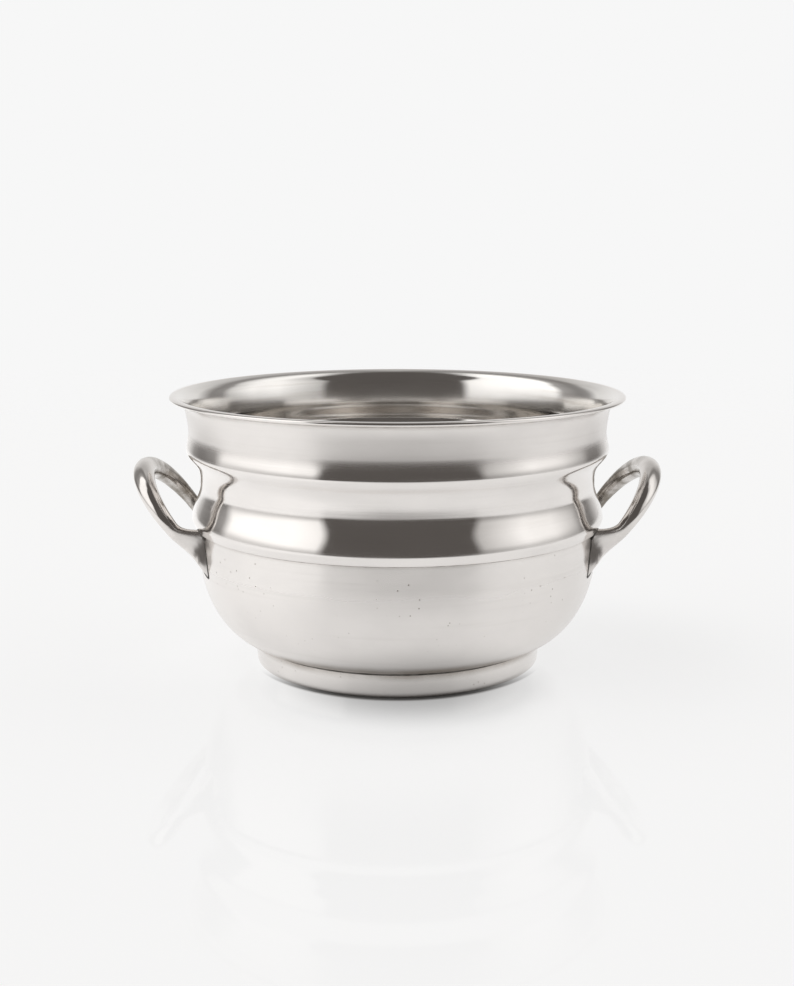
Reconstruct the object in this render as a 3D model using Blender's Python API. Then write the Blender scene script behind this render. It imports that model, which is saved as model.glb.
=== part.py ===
"""Two-handled silver-plated cup: a spun bowl and collar, a rim wire, a foot ring and two cast loop handles.

The pieces are soldered together. Units are metres, +Z is up, and the origin is on the ground on the
cup's axis. The handles stand at -X (left) and +X (right).
"""
import math

import bmesh
import bpy
from mathutils import Vector

# Fits: pieces that meet keep this gap, and solder fills the joints between them
GAP = 0.0003
SOLDER_LAYER = 0.0005
SOLDER_FILLET = 0.0008

# Sheet metal of the bowl and the collar
WALL = 0.0012

# Foot ring
FOOT_HEIGHT = 0.0082
FOOT_RADIUS = 0.0516
FOOT_TAPER = 0.0006
FOOT_EDGE = 0.0007
FOOT_WALL = 0.0024

# Bowl: a flat floor, a quarter-ellipse belly and a straight shoulder up to the collar's hem
FLOOR_RADIUS = 0.0490
BELLY_REACH = 0.0220
BELLY_HEIGHT = 0.0335
SHOULDER_HEIGHT = 0.0080

# Collar: hem, lower ridge, cove, upper ridge, tapered neck and turned-out lip, from the bottom up
HEM_EDGE = 0.0008
HEM_HEIGHT = 0.0026
HEM_FLARE = 0.0007
COVE_DEPTH = 0.0032
COVE_LOWER_HEIGHT = 0.0121
COVE_UPPER_HEIGHT = 0.0124
UPPER_RIDGE_RISE = 0.00475
UPPER_RIDGE_LAG = 1.9
NECK_DEPTH = 0.0011
NECK_FLANK_HEIGHT = 0.0064
NECK_TAPER = 0.0019
NECK_TAPER_POWER = 1.4
LIP_HEIGHT = 0.0118
LIP_REACH = 0.00515
LIP_FLARE_POWER = 9.0

# Rim wire and the run of solder under it
RIM_WIRE_DIAMETER = 0.0024
RIM_SOLDER_DIAMETER = 0.0006

# Handles: a half-ellipse arch on two straight legs, leaning outwards
HANDLE_LEAN = math.radians(52.6)
HANDLE_HALF_WIDTH = 0.0258
HANDLE_ARCH = 0.0201
HANDLE_LEG = 0.0163
HANDLE_ROD_DIAMETER = 0.0050
HANDLE_CROWN_DIAMETER = 0.0077
HANDLE_ROOT_INSET = 0.0048
HANDLE_ROOT_DROP = 0.0103
HANDLE_PAD_HALF_WIDTH = 0.0066
HANDLE_PAD_START = 0.0045
HANDLE_PAD_RUN = 0.0110
HANDLE_ROOT_RUN = 0.0150
HANDLE_ROOT_TIP = 0.0016
HANDLE_WEB_REACH = 0.0073
HANDLE_WEB_RUN = 0.0070
HANDLE_WEB_END = 0.0090
HANDLE_KEEL_SHARPNESS = 0.5
HANDLE_ROOT_SINK = 0.0067

# Fineness of the round shapes
TURN_STEPS = 64
OGEE_STEPS = 7
LIP_STEPS = 10
BELLY_STEPS = 10
NOSE_STEPS = 3
WIRE_STEPS = 8
ROD_SIDES = 12
LEG_STEPS = 10
ARCH_STEPS = 16
SHARP_ANGLE = math.radians(35.0)
MERGE_DISTANCE = 0.000001
MITRE_LIMIT = 0.5

# Heights and radii that follow from the sizes above
BOWL_BOTTOM = FOOT_HEIGHT + GAP
BELLY_TOP = BOWL_BOTTOM + BELLY_HEIGHT
SEAM_HEIGHT = BELLY_TOP + SHOULDER_HEIGHT
LOWER_RIDGE_HEIGHT = SEAM_HEIGHT + HEM_HEIGHT
COVE_HEIGHT = LOWER_RIDGE_HEIGHT + COVE_LOWER_HEIGHT
UPPER_RIDGE_HEIGHT = COVE_HEIGHT + COVE_UPPER_HEIGHT
NECK_HEIGHT = UPPER_RIDGE_HEIGHT + NECK_FLANK_HEIGHT
RIM_HEIGHT = NECK_HEIGHT + LIP_HEIGHT
BELLY_RADIUS = FLOOR_RADIUS + BELLY_REACH
HEM_INNER_RADIUS = BELLY_RADIUS + GAP
HEM_OUTER_RADIUS = HEM_INNER_RADIUS + HEM_EDGE
LOWER_RIDGE_RADIUS = HEM_INNER_RADIUS + WALL + HEM_FLARE
COVE_RADIUS = LOWER_RIDGE_RADIUS - COVE_DEPTH
UPPER_RIDGE_RADIUS = COVE_RADIUS + UPPER_RIDGE_RISE
NECK_RADIUS = UPPER_RIDGE_RADIUS - NECK_DEPTH
RIM_RADIUS = NECK_RADIUS + LIP_REACH
WIRE_RADIUS = RIM_WIRE_DIAMETER / 2

# Finishes: colour, metallic value and roughness
SILVER_PLATE = ((0.78, 0.765, 0.74), 1.0, 0.16)
SOLDER = ((0.46, 0.44, 0.41), 1.0, 0.42)


def clear_scene():
    for old in list(bpy.data.objects):
        bpy.data.objects.remove(old, do_unlink=True)


def make_material(name, finish):
    colour, metallic, roughness = finish
    material = bpy.data.materials.new(name)
    material.use_nodes = True
    shader = material.node_tree.nodes["Principled BSDF"]
    shader.inputs["Base Color"].default_value = (*colour, 1.0)
    shader.inputs["Metallic"].default_value = metallic
    shader.inputs["Roughness"].default_value = roughness
    return material


def add_object(name, mesh, finish):
    piece = bpy.data.objects.new(name, mesh)
    bpy.context.collection.objects.link(piece)
    mesh.materials.append(make_material(name + "_finish", finish))
    mesh.shade_smooth()
    mesh.set_sharp_from_angle(angle=SHARP_ANGLE)
    return piece


def close_mesh(name, shape):
    bmesh.ops.recalc_face_normals(shape, faces=shape.faces)
    mesh = bpy.data.meshes.new(name)
    shape.to_mesh(mesh)
    shape.free()
    return mesh


def turned_mesh(name, outline, closed):
    """Turns an outline of (radius, height) points about Z; an open one starts and ends on the axis."""
    shape = bmesh.new()
    corners = [shape.verts.new((radius, 0.0, height)) for radius, height in outline]
    edges = [shape.edges.new(pair) for pair in zip(corners, corners[1:])]
    if closed:
        edges.append(shape.edges.new((corners[-1], corners[0])))
    bmesh.ops.spin(
        shape, geom=corners + edges, cent=(0.0, 0.0, 0.0), axis=(0.0, 0.0, 1.0),
        angle=math.tau, steps=TURN_STEPS, use_merge=True, use_duplicate=False,
    )
    bmesh.ops.remove_doubles(shape, verts=shape.verts, dist=MERGE_DISTANCE)
    return close_mesh(name, shape)


def turned_piece(name, outline, finish, closed=True):
    return add_object(name, turned_mesh(name, outline, closed), finish)


def circle(centre, radius, steps):
    angles = [math.tau * step / steps for step in range(steps)]
    return [(centre[0] + radius * math.cos(a), centre[1] + radius * math.sin(a)) for a in angles]


def ogee(waist, crest, lag=1.0):
    """Double curve, upright at its waist and at its crest; a lag above 1 keeps it low for longer."""
    points = []
    for step in range(OGEE_STEPS + 1):
        share = step / OGEE_STEPS
        late = share**lag
        swing = late**2 * (3.0 - 2.0 * late)
        radius = waist[0] + (crest[0] - waist[0]) * swing
        points.append((radius, waist[1] + (crest[1] - waist[1]) * share))
    return points


def inset(points, distance):
    """The same line moved towards the axis by a constant distance, square to itself."""
    moved = []
    for index, point in enumerate(points):
        before = Vector(points[max(index - 1, 0)])
        after = Vector(points[min(index + 1, len(points) - 1)])
        into = Vector(point) - before if index else after - Vector(point)
        out = after - Vector(point) if index + 1 < len(points) else into
        into.normalize()
        out.normalize()
        run = (into + out).normalized()
        side = Vector((-run.y, run.x))
        moved.append(tuple(Vector(point) + side * (distance / max(run.dot(into), MITRE_LIMIT))))
    return moved


def belly_line():
    """Outer side of the belly, from the floor's edge up to the shoulder."""
    points = []
    for step in range(BELLY_STEPS + 1):
        angle = math.pi / 2 * step / BELLY_STEPS
        radius = FLOOR_RADIUS + BELLY_REACH * math.sin(angle)
        points.append((radius, BELLY_TOP - BELLY_HEIGHT * math.cos(angle)))
    return points


def belly_height(radius):
    """Height of the bowl's underside above the ground at a radius."""
    share = min(max((radius - FLOOR_RADIUS) / BELLY_REACH, 0.0), 1.0)
    return BELLY_TOP - BELLY_HEIGHT * math.sqrt(1.0 - share**2)


def wall_line():
    """Outer side of the collar's wall, from the lower ridge up to the neck."""
    cove = (COVE_RADIUS, COVE_HEIGHT)
    lower_ridge = (LOWER_RIDGE_RADIUS, LOWER_RIDGE_HEIGHT)
    upper_ridge = (UPPER_RIDGE_RADIUS, UPPER_RIDGE_HEIGHT)
    rising = ogee(cove, upper_ridge, UPPER_RIDGE_LAG)
    flank = ogee((NECK_RADIUS, NECK_HEIGHT), upper_ridge)
    return ogee(cove, lower_ridge)[::-1] + rising[1:] + flank[-2::-1]


def lip_line():
    """Middle of the lip's sheet: a tapered neck that turns out to the rim wire, level with the wire's top."""
    start = Vector((NECK_RADIUS - WALL / 2, NECK_HEIGHT))
    target = Vector((RIM_RADIUS, RIM_HEIGHT + WIRE_RADIUS - WALL / 2))
    flare = target.x - start.x - NECK_TAPER
    height = target.y - start.y
    end = 1.0 - (WIRE_RADIUS + WALL / 2 + GAP) / math.hypot(LIP_FLARE_POWER * flare, height)
    points = []
    for step in range(1, LIP_STEPS + 1):
        rise = end * step / LIP_STEPS
        out = NECK_TAPER * rise**NECK_TAPER_POWER + flare * rise**LIP_FLARE_POWER
        points.append((start.x + out, start.y + height * rise))
    return points


def lower_bowl():
    outer = [(0.0, BOWL_BOTTOM)] + belly_line() + [(BELLY_RADIUS, LOWER_RIDGE_HEIGHT)]
    inner = inset(outer[1:], WALL)
    inner[0] = (FLOOR_RADIUS, BOWL_BOTTOM + WALL)
    outline = outer + inner[::-1] + [(0.0, BOWL_BOTTOM + WALL)]
    return turned_piece("lower_bowl", outline, SILVER_PLATE, closed=False)


def upper_collar():
    wall = wall_line()
    lip = lip_line()
    hem_bottom = [(HEM_INNER_RADIUS, SEAM_HEIGHT), (HEM_OUTER_RADIUS, SEAM_HEIGHT)]
    outside = wall + inset(lip, -WALL / 2)
    inside = [(radius - WALL, height) for radius, height in wall] + inset(lip, WALL / 2)
    return turned_piece("upper_collar", hem_bottom + outside + inside[::-1], SILVER_PLATE)


def rim_wire():
    return turned_piece("rim_wire", circle((RIM_RADIUS, RIM_HEIGHT), WIRE_RADIUS, WIRE_STEPS), SILVER_PLATE)


def foot_ring():
    bottom_radius = FOOT_RADIUS - FOOT_TAPER
    inner_radius = FOOT_RADIUS - FOOT_WALL
    edge = []
    for step in range(NOSE_STEPS + 1):
        angle = math.pi / 2 * step / NOSE_STEPS
        radius = bottom_radius - FOOT_EDGE + FOOT_EDGE * math.cos(angle)
        edge.append((radius, FOOT_EDGE - FOOT_EDGE * math.sin(angle)))
    outline = [(FOOT_RADIUS, belly_height(FOOT_RADIUS) - GAP)] + edge
    outline += [(inner_radius, 0.0), (inner_radius, belly_height(inner_radius) - GAP)]
    return turned_piece("foot_ring", outline, SILVER_PLATE)


def seam_solder():
    top = SEAM_HEIGHT - GAP
    outline = [(HEM_INNER_RADIUS, top), (HEM_OUTER_RADIUS, top), (HEM_INNER_RADIUS, top - SOLDER_FILLET)]
    return turned_piece("seam_solder", outline, SOLDER)


def foot_solder():
    inside = FOOT_RADIUS + GAP
    outside = inside + SOLDER_FILLET
    top = belly_height(inside) - GAP
    outline = [(inside, top), (outside, belly_height(outside) - GAP), (inside, top - SOLDER_FILLET)]
    return turned_piece("foot_solder", outline, SOLDER)


def rim_solder():
    """Run of solder in the corner between the lip's underside and the wire."""
    radius = RIM_SOLDER_DIAMETER / 2
    before, edge = [Vector(point) for point in lip_line()[-2:]]
    along = (edge - before).normalized()
    down = Vector((along.y, -along.x))
    wire = Vector((RIM_RADIUS, RIM_HEIGHT))
    below = WALL / 2 + GAP + radius - (wire - edge).dot(down)
    back = math.sqrt((WIRE_RADIUS + GAP + radius) ** 2 - below**2)
    return turned_piece("rim_solder", circle(wire - along * back + down * below, radius, WIRE_STEPS), SOLDER)


def body_cutter(name, clearance):
    """Solid of the body's outside, grown by a clearance, from under the handle roots up to the neck."""
    seam = [(BELLY_RADIUS, SEAM_HEIGHT - GAP - SOLDER_FILLET), (HEM_OUTER_RADIUS, SEAM_HEIGHT - GAP)]
    grown = inset(belly_line() + seam + [(HEM_OUTER_RADIUS, SEAM_HEIGHT)] + wall_line(), -clearance)
    outline = [(0.0, grown[0][1])] + grown + [(0.0, grown[-1][1])]
    cutter = bpy.data.objects.new(name, turned_mesh(name, outline, closed=False))
    bpy.context.collection.objects.link(cutter)
    cutter.hide_render = True
    cutter.display_type = "WIRE"
    return cutter


def handle_frame(side):
    """Direction up the slope of a handle, the direction square to its plane, and the arch's centre."""
    slope = Vector((side * math.cos(HANDLE_LEAN), 0.0, math.sin(HANDLE_LEAN)))
    square = Vector((-side * math.sin(HANDLE_LEAN), 0.0, math.cos(HANDLE_LEAN)))
    root_width = HANDLE_HALF_WIDTH - HANDLE_ROOT_INSET
    root_radius = math.sqrt(BELLY_RADIUS**2 - root_width**2)
    root = Vector((side * root_radius, 0.0, SEAM_HEIGHT - HANDLE_ROOT_DROP))
    return slope, square, root + slope * HANDLE_LEG


def swell(along_leg, run):
    """Share of the root's spread at a distance down the leg: none at first, all of it after the run."""
    share = min(max(along_leg / run, 0.0), 1.0)
    return share**2 * (3.0 - 2.0 * share)


def leg_stations(side, end):
    """Rings of a leg, from inside the body up to the arch: the root is broad, keeled and webbed."""
    slope, square, centre = handle_frame(side)
    across = Vector((0.0, end, 0.0))
    rod = HANDLE_ROD_DIAMETER / 2
    length = HANDLE_LEG + HANDLE_ROOT_SINK
    stations = []
    for step in range(LEG_STEPS, 0, -1):
        down = length * step / LEG_STEPS
        spread = swell(down, HANDLE_ROOT_RUN)
        pad = swell(down - HANDLE_PAD_START, HANDLE_PAD_RUN)
        half_width = rod + (HANDLE_PAD_HALF_WIDTH - rod) * pad
        tip = rod + (HANDLE_ROOT_TIP - rod) * spread
        web = rod + (HANDLE_WEB_REACH - rod) * (min(down, HANDLE_WEB_END) / HANDLE_WEB_RUN) ** 2
        inward = HANDLE_ROOT_INSET * swell(down, HANDLE_LEG)
        middle = centre - slope * down + across * (HANDLE_HALF_WIDTH - inward)
        stations.append((middle, across, square, half_width, web, tip, HANDLE_KEEL_SHARPNESS * spread))
    return stations


def arch_stations(side):
    """Rings of the half-ellipse arch, from the front leg over the crown to the rear leg."""
    slope, square, centre = handle_frame(side)
    stations = []
    for step in range(ARCH_STEPS + 1):
        angle = math.pi * step / ARCH_STEPS
        middle = centre + slope * (HANDLE_ARCH * math.sin(angle))
        middle += Vector((0.0, -HANDLE_HALF_WIDTH * math.cos(angle), 0.0))
        outward = slope * (HANDLE_HALF_WIDTH * math.sin(angle))
        outward += Vector((0.0, -HANDLE_ARCH * math.cos(angle), 0.0))
        rod = (HANDLE_ROD_DIAMETER + (HANDLE_CROWN_DIAMETER - HANDLE_ROD_DIAMETER) * math.sin(angle)) / 2
        stations.append((middle, outward.normalized(), square, rod, rod, rod, 0.0))
    return stations


def swept_mesh(name, stations):
    """Closed skin over rings of (middle, across, square, half width, reach above, reach below, keel)."""
    shape = bmesh.new()
    rings = []
    for middle, across, square, half_width, above, below, keel in stations:
        ring = []
        for step in range(ROD_SIDES):
            angle = math.tau * step / ROD_SIDES
            height = math.sin(angle)
            width = math.cos(angle) * (1.0 - keel * max(-height, 0.0))
            reach = above if height > 0.0 else below
            ring.append(shape.verts.new(middle + across * (half_width * width) + square * (reach * height)))
        rings.append(ring)
    for low, high in zip(rings, rings[1:]):
        for step in range(ROD_SIDES):
            after = (step + 1) % ROD_SIDES
            shape.faces.new((low[step], low[after], high[after], high[step]))
    shape.faces.new(rings[0])
    shape.faces.new(rings[-1])
    return close_mesh(name, shape)


def apply_boolean(piece, cutter, operation):
    cut = piece.modifiers.new(operation.lower(), "BOOLEAN")
    cut.operation = operation
    cut.solver = "EXACT"
    cut.object = cutter


def handle(name, side, seat):
    front = leg_stations(side, -1.0)
    rear = leg_stations(side, 1.0)
    stations = front + arch_stations(side) + rear[::-1]
    piece = add_object(name, swept_mesh(name, stations), SILVER_PLATE)
    apply_boolean(piece, seat, "DIFFERENCE")
    return piece


def root_solder(name, side, end, outer_cutter, inner_cutter):
    piece = add_object(name, swept_mesh(name, leg_stations(side, end)), SOLDER)
    apply_boolean(piece, outer_cutter, "INTERSECT")
    apply_boolean(piece, inner_cutter, "DIFFERENCE")
    return piece


def build():
    clear_scene()
    lower_bowl()
    upper_collar()
    rim_wire()
    foot_ring()
    seam_solder()
    foot_solder()
    rim_solder()
    solder_bottom = body_cutter("solder_bottom_cutter", GAP)
    solder_top = body_cutter("solder_top_cutter", GAP + SOLDER_LAYER)
    handle_seat = body_cutter("handle_seat_cutter", GAP + SOLDER_LAYER + GAP)
    for label, side in (("left", -1.0), ("right", 1.0)):
        handle(label + "_handle", side, handle_seat)
        for end_label, end in (("front", -1.0), ("rear", 1.0)):
            root_solder(label + "_handle_" + end_label + "_solder", side, end, solder_top, solder_bottom)


build()
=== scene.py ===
"""Looks of the silver-plated cup: fine meshes of every piece, their finishes, the studio and the camera.

Units are metres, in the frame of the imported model: +Z is up and -Y faces the viewer.
"""

import math

import bmesh
import bpy
from mathutils import Matrix, Vector, noise


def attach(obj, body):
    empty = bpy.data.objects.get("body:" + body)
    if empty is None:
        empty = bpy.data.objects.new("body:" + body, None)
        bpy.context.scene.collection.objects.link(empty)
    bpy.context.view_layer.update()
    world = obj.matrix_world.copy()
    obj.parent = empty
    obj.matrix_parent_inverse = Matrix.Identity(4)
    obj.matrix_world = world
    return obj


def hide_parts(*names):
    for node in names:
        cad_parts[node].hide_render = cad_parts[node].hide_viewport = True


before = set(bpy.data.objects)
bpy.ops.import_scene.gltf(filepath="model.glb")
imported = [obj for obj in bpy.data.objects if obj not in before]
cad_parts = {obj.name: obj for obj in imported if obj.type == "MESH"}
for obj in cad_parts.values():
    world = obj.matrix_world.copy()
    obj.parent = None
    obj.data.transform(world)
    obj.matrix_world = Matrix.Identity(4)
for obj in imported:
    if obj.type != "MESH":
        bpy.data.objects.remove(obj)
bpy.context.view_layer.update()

# Sizes shared with the solids
GAP = 0.0003
WALL = 0.0012
FOOT_HEIGHT = 0.0082
FOOT_RADIUS = 0.0516
FOOT_TAPER = 0.0006
FOOT_EDGE = 0.0007
FOOT_WALL = 0.0024
FLOOR_RADIUS = 0.0490
BELLY_REACH = 0.0220
BELLY_HEIGHT = 0.0335
SHOULDER_HEIGHT = 0.0080
HEM_EDGE = 0.0008
HEM_HEIGHT = 0.0026
HEM_FLARE = 0.0007
COVE_DEPTH = 0.0032
COVE_LOWER_HEIGHT = 0.0121
COVE_UPPER_HEIGHT = 0.0124
UPPER_RIDGE_RISE = 0.00475
UPPER_RIDGE_LAG = 1.9
NECK_DEPTH = 0.0011
NECK_FLANK_HEIGHT = 0.0064
NECK_TAPER = 0.0019
NECK_TAPER_POWER = 1.4
LIP_HEIGHT = 0.0118
LIP_REACH = 0.00515
LIP_FLARE_POWER = 9.0
RIM_WIRE_DIAMETER = 0.0024
RIM_SOLDER_DIAMETER = 0.0006
HANDLE_LEAN = math.radians(52.6)
HANDLE_HALF_WIDTH = 0.0258
HANDLE_ARCH = 0.0201
HANDLE_LEG = 0.0163
HANDLE_ROD_DIAMETER = 0.0050
HANDLE_CROWN_DIAMETER = 0.0077
HANDLE_ROOT_INSET = 0.0048
HANDLE_ROOT_DROP = 0.0103
HANDLE_PAD_HALF_WIDTH = 0.0066
HANDLE_PAD_START = 0.0045
HANDLE_PAD_RUN = 0.0110
HANDLE_ROOT_RUN = 0.0150
HANDLE_ROOT_TIP = 0.0016
HANDLE_WEB_REACH = 0.0073
HANDLE_WEB_RUN = 0.0070
HANDLE_WEB_END = 0.0090
HANDLE_KEEL_SHARPNESS = 0.5

# Heights and radii that follow from them
BOWL_BOTTOM = FOOT_HEIGHT + GAP
BELLY_TOP = BOWL_BOTTOM + BELLY_HEIGHT
SEAM_HEIGHT = BELLY_TOP + SHOULDER_HEIGHT
LOWER_RIDGE_HEIGHT = SEAM_HEIGHT + HEM_HEIGHT
COVE_HEIGHT = LOWER_RIDGE_HEIGHT + COVE_LOWER_HEIGHT
UPPER_RIDGE_HEIGHT = COVE_HEIGHT + COVE_UPPER_HEIGHT
NECK_HEIGHT = UPPER_RIDGE_HEIGHT + NECK_FLANK_HEIGHT
RIM_HEIGHT = NECK_HEIGHT + LIP_HEIGHT
BELLY_RADIUS = FLOOR_RADIUS + BELLY_REACH
HEM_INNER_RADIUS = BELLY_RADIUS + GAP
HEM_OUTER_RADIUS = HEM_INNER_RADIUS + HEM_EDGE
LOWER_RIDGE_RADIUS = HEM_INNER_RADIUS + WALL + HEM_FLARE
COVE_RADIUS = LOWER_RIDGE_RADIUS - COVE_DEPTH
UPPER_RIDGE_RADIUS = COVE_RADIUS + UPPER_RIDGE_RISE
NECK_RADIUS = UPPER_RIDGE_RADIUS - NECK_DEPTH
RIM_RADIUS = NECK_RADIUS + LIP_REACH
WIRE_RADIUS = RIM_WIRE_DIAMETER / 2

# Rounding of the lower ridge's crest, the wire as the lip's edge is planished over it, and the solder runs
# that close the joints between the pieces
CREST_REACH = 0.0004
RIM_OVAL = (0.00147, 0.00080)
RIM_OVAL_LIFT = 0.00015
SEAM_FILLET = 0.0005
FOOT_FILLET = 0.0009
ROOT_BEAD_RADIUS = 0.00045
OVERLAP = 0.0002

# Handles: trim that keeps their finer skin within the solids, hollow of the roots' flare, and how far
# past its length a leg may reach for the body
HANDLE_TRIM = 0.00005
HANDLE_PAD_POWER = 2.4
HANDLE_ROOT_SINK = 0.0087

# Fineness of the meshes
TURN_STEPS = 288
OGEE_STEPS = 30
LIP_STEPS = 40
BELLY_STEPS = 40
NOSE_STEPS = 8
WIRE_STEPS = 40
BEAD_STEPS = 10
ROD_SIDES = 40
LEG_STEPS = 22
ARCH_STEPS = 72
BISECTIONS = 40
SHARP_ANGLE = math.radians(40.0)
MERGE_DISTANCE = 0.000001
MITRE_LIMIT = 0.5

# Slight unevenness of the spun sheet: depth and length of its waves
SHEET_WAVE = (0.000030, 0.022)

# Colours of the finishes: clean and tarnished plate outside, inside and on the castings, where the tarnish
# colour outside also paints shade in the crease over the foot and inside also paints reflections in streaks;
# the light and dark colours of the solder at the seam and rim, at the foot and at the handles, where the
# solder at the foot and at the handles is darker also as painted shade in the crease and round the roots;
# and how bright cloudy plate stays
SILVER = (0.82, 0.79, 0.765, 1.0)
TARNISH_AND_SHADE = (0.30, 0.26, 0.22, 1.0)
INSIDE_SILVER = (0.84, 0.82, 0.795, 1.0)
INSIDE_TARNISH_AND_REFLECTION = (0.58, 0.52, 0.465, 1.0)
CAST_SILVER = (0.79, 0.76, 0.735, 1.0)
CAST_TARNISH = (0.24, 0.215, 0.185, 1.0)
SOLDER_GREY = ((0.62, 0.60, 0.57, 1.0), (0.34, 0.32, 0.29, 1.0))
SOLDER_DULL_AND_SHADE = ((0.34, 0.32, 0.30, 1.0), (0.18, 0.17, 0.155, 1.0))
SOLDER_DARK_AND_SHADE = ((0.16, 0.15, 0.14, 1.0), (0.05, 0.047, 0.043, 1.0))
SHADED_SHARE = 0.95

# Grain of the finishes: waves per metre along X, Y and Z, and the slant of the scratches
POLISH_LINES = (22.0, 22.0, 1900.0)
CLOUDS = (45.0, 45.0, 70.0)
STREAKS = (14.0, 14.0, 420.0)
SCRATCHES = (20.0, 20.0, 2600.0)
SCRATCH_SLANT = (0.5, 0.35, 0.0)
HAIRLINES = (40.0, 40.0, 9000.0)
PITS = 300.0
PIT_PATCHES = 38.0
CAST_CLOUDS = (150.0, 150.0, 150.0)
CAST_GRAIN = (900.0, 900.0, 900.0)
CAST_SCRATCHES = (120.0, 90.0, 2400.0)
CAST_SCRATCH_SLANT = (0.9, 0.4, 0.0)
SOLDER_CLOUDS = (260.0, 260.0, 260.0)

# Levels of the grain at which a mark starts and is full
SCRATCH_EDGE = (0.70, 0.76)
STREAK_EDGE = (0.52, 0.78)
CLOUD_EDGE = (0.30, 0.75)
DIRT_AND_SHADE_EDGE = (0.10, 0.75)
HAIRLINE_EDGE = (0.44, 0.56)
PIT_CHOICE = (0.68, 0.70)
PIT_EDGE = (0.040, 0.100)
PIT_PATCH_EDGE = (0.46, 0.60)
CAST_SCRATCH_EDGE = (0.68, 0.75)
CAST_CLOUD_EDGE = (0.30, 0.70)
SOLDER_CLOUD_EDGE = (0.35, 0.65)

# Strength of the marks in the plate: in its colour, its roughness and its relief, and how far it is brushed
FOOT_PIT_SHARE = 0.8
PIT_DIRT = 0.9
SEAM_DIRT = 0.25
CLOUD_ROUGHNESS = 0.06
DIRT_ROUGHNESS = 0.12
LINE_RELIEF = 0.5
SCRATCH_RELIEF = 0.6
PIT_RELIEF = 6.0
PLATE_BUMP = 0.10
PITTED_BUMP = 0.20
PLATE_RELIEF = 0.00002
BRUSHING = 0.8
BRUSHING_TURN = 0.25

# Strength of the marks in the castings and in the solder
CAST_DULL_SHARE = (0.10, 0.62)
CAST_PATCHINESS = (0.35, 1.65)
CAST_DULL_ROUGHNESS = 0.20
CAST_GRAIN_RELIEF = 0.2
CAST_SCRATCH_RELIEF = 0.5
CAST_BUMP = 0.3
SOLDER_ROUGHNESS = 0.25
SOLDER_CLOUD_ROUGHNESS = 0.3
SOLDER_BUMP = 0.6
SOLDER_RELIEF = 0.0001

# Heights over which the finish changes: where the foot's pits end, where the belly's start and end, the
# band of tarnish and painted shade in the crease over the foot, and the dirty line under the seam
FOOT_PITS = (FOOT_HEIGHT - 0.0012, FOOT_HEIGHT + 0.0003)
BELLY_PITS = (BOWL_BOTTOM + 0.0055, BELLY_TOP - 0.0020)
PITS_END = (SEAM_HEIGHT - 0.0002, SEAM_HEIGHT + 0.0002)
CREASE = (FOOT_HEIGHT - 0.0012, FOOT_HEIGHT + 0.0040)
CREASE_SOFT = 0.0018
SEAM_LINE = (SEAM_HEIGHT - 0.0010, SEAM_HEIGHT)
SEAM_LINE_SOFT = 0.0006

# Zones of the body's plate: heights where each starts and is full, and the roughness of its sheet and of
# its hairlines
BODY_ZONES = (
    (FOOT_HEIGHT - 0.0002, FOOT_HEIGHT + 0.0013, 0.30, 0.30),
    (BELLY_TOP - 0.0080, SEAM_HEIGHT - 0.0020, 0.20, 0.20),
    (SEAM_HEIGHT - 0.0002, SEAM_HEIGHT + 0.0022, 0.07, 0.15),
    (UPPER_RIDGE_HEIGHT + 0.0014, NECK_HEIGHT + 0.0005, 0.34, 0.34),
)

# Castings: depths from the bright front legs to the tarnished rear ones, and heights over which the rough
# roots turn smooth
CAST_REAR = (-0.008, 0.014)
CAST_ROOT = (SEAM_HEIGHT - 0.0015, SEAM_HEIGHT + 0.0060)
CAST_ROOT_ROUGHNESS = 0.20

# Studio: what the metal mirrors around the cup. Compass angles are in degrees from the viewer's side.
# Each side has a light box between the dark room in front and the white backdrop behind.
ROOM_DARK = (0.110, 0.101, 0.095, 1.0)
STUDIO_WHITE = (1.0, 1.0, 0.995, 1.0)
LEFT_LEVELS = (
    (40, 0.0), (45, 1.05), (62, 1.22), (106, 1.25), (113, 0.30), (130, 0.16), (140, 0.22), (152, 0.72),
    (180, 0.76),
)
RIGHT_LEVELS = (
    (42, 0.0), (47, 0.50), (62, 0.80), (74, 1.08), (95, 1.05), (114, 0.62), (121, 0.20), (133, 0.16),
    (152, 0.72), (180, 0.76),
)
LEVEL_SCALE = 1.4
SIDE_BLEND = 0.05
BOX_LEAN_FROM = math.radians(30.0)
BOX_BOTTOM = (math.radians(-3.0), math.radians(14.0))
UNDER_BOX = 0.48
BACKDROP_FROM = (math.radians(125.0), math.radians(145.0))
BACKDROP_FALL = (math.radians(8.0), math.radians(45.0))
BACKDROP_TOP = 0.62
CEILING = (math.radians(66.0), math.radians(77.0))
BACKGROUND_WHITE = (0.93, 0.93, 0.93, 1.0)

# Table top: its glow, its edges, its gloss in front of the cup, the painted shadows at the foot, in front
# and to the right, and the painted extra light on the lamp's side that the metal mirrors but the camera does
# not see, with places measured from the cup's axis
FLOOR_GLOW = 0.79
FLOOR_COLOUR = (0.25, 0.25, 0.25, 1.0)
FLOOR_HALF = 3.0
FLOOR_FADE = (0.45, 1.1)
FLOOR_FRONT = (-0.56, -0.22)
FLOOR_GLOSS = (-0.055, 0.0)
FLOOR_COAT = 0.40
FLOOR_COAT_INDEX = 1.45
FLOOR_COAT_ROUGHNESS = 0.03
CONTACT_CENTRE = (0.0002, -0.0022)
CONTACT_SHADOW = (0.0498, 0.0523)
CONTACT_FRONT = (-0.048, -0.018)
FRONT_SHADE_CENTRE = (0.004, -0.034)
FRONT_SHADE = (0.018, 0.052)
FRONT_SHADE_DEPTH = 0.50
LAMP_SIDE = (-0.150, -0.030)
LAMP_SIDE_GAIN = 1.18
SIDE_SHADE_CENTRE = (0.065, 0.010)
SIDE_SHADE = (0.010, 0.090)
SIDE_SHADE_DEPTH = 0.06

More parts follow.
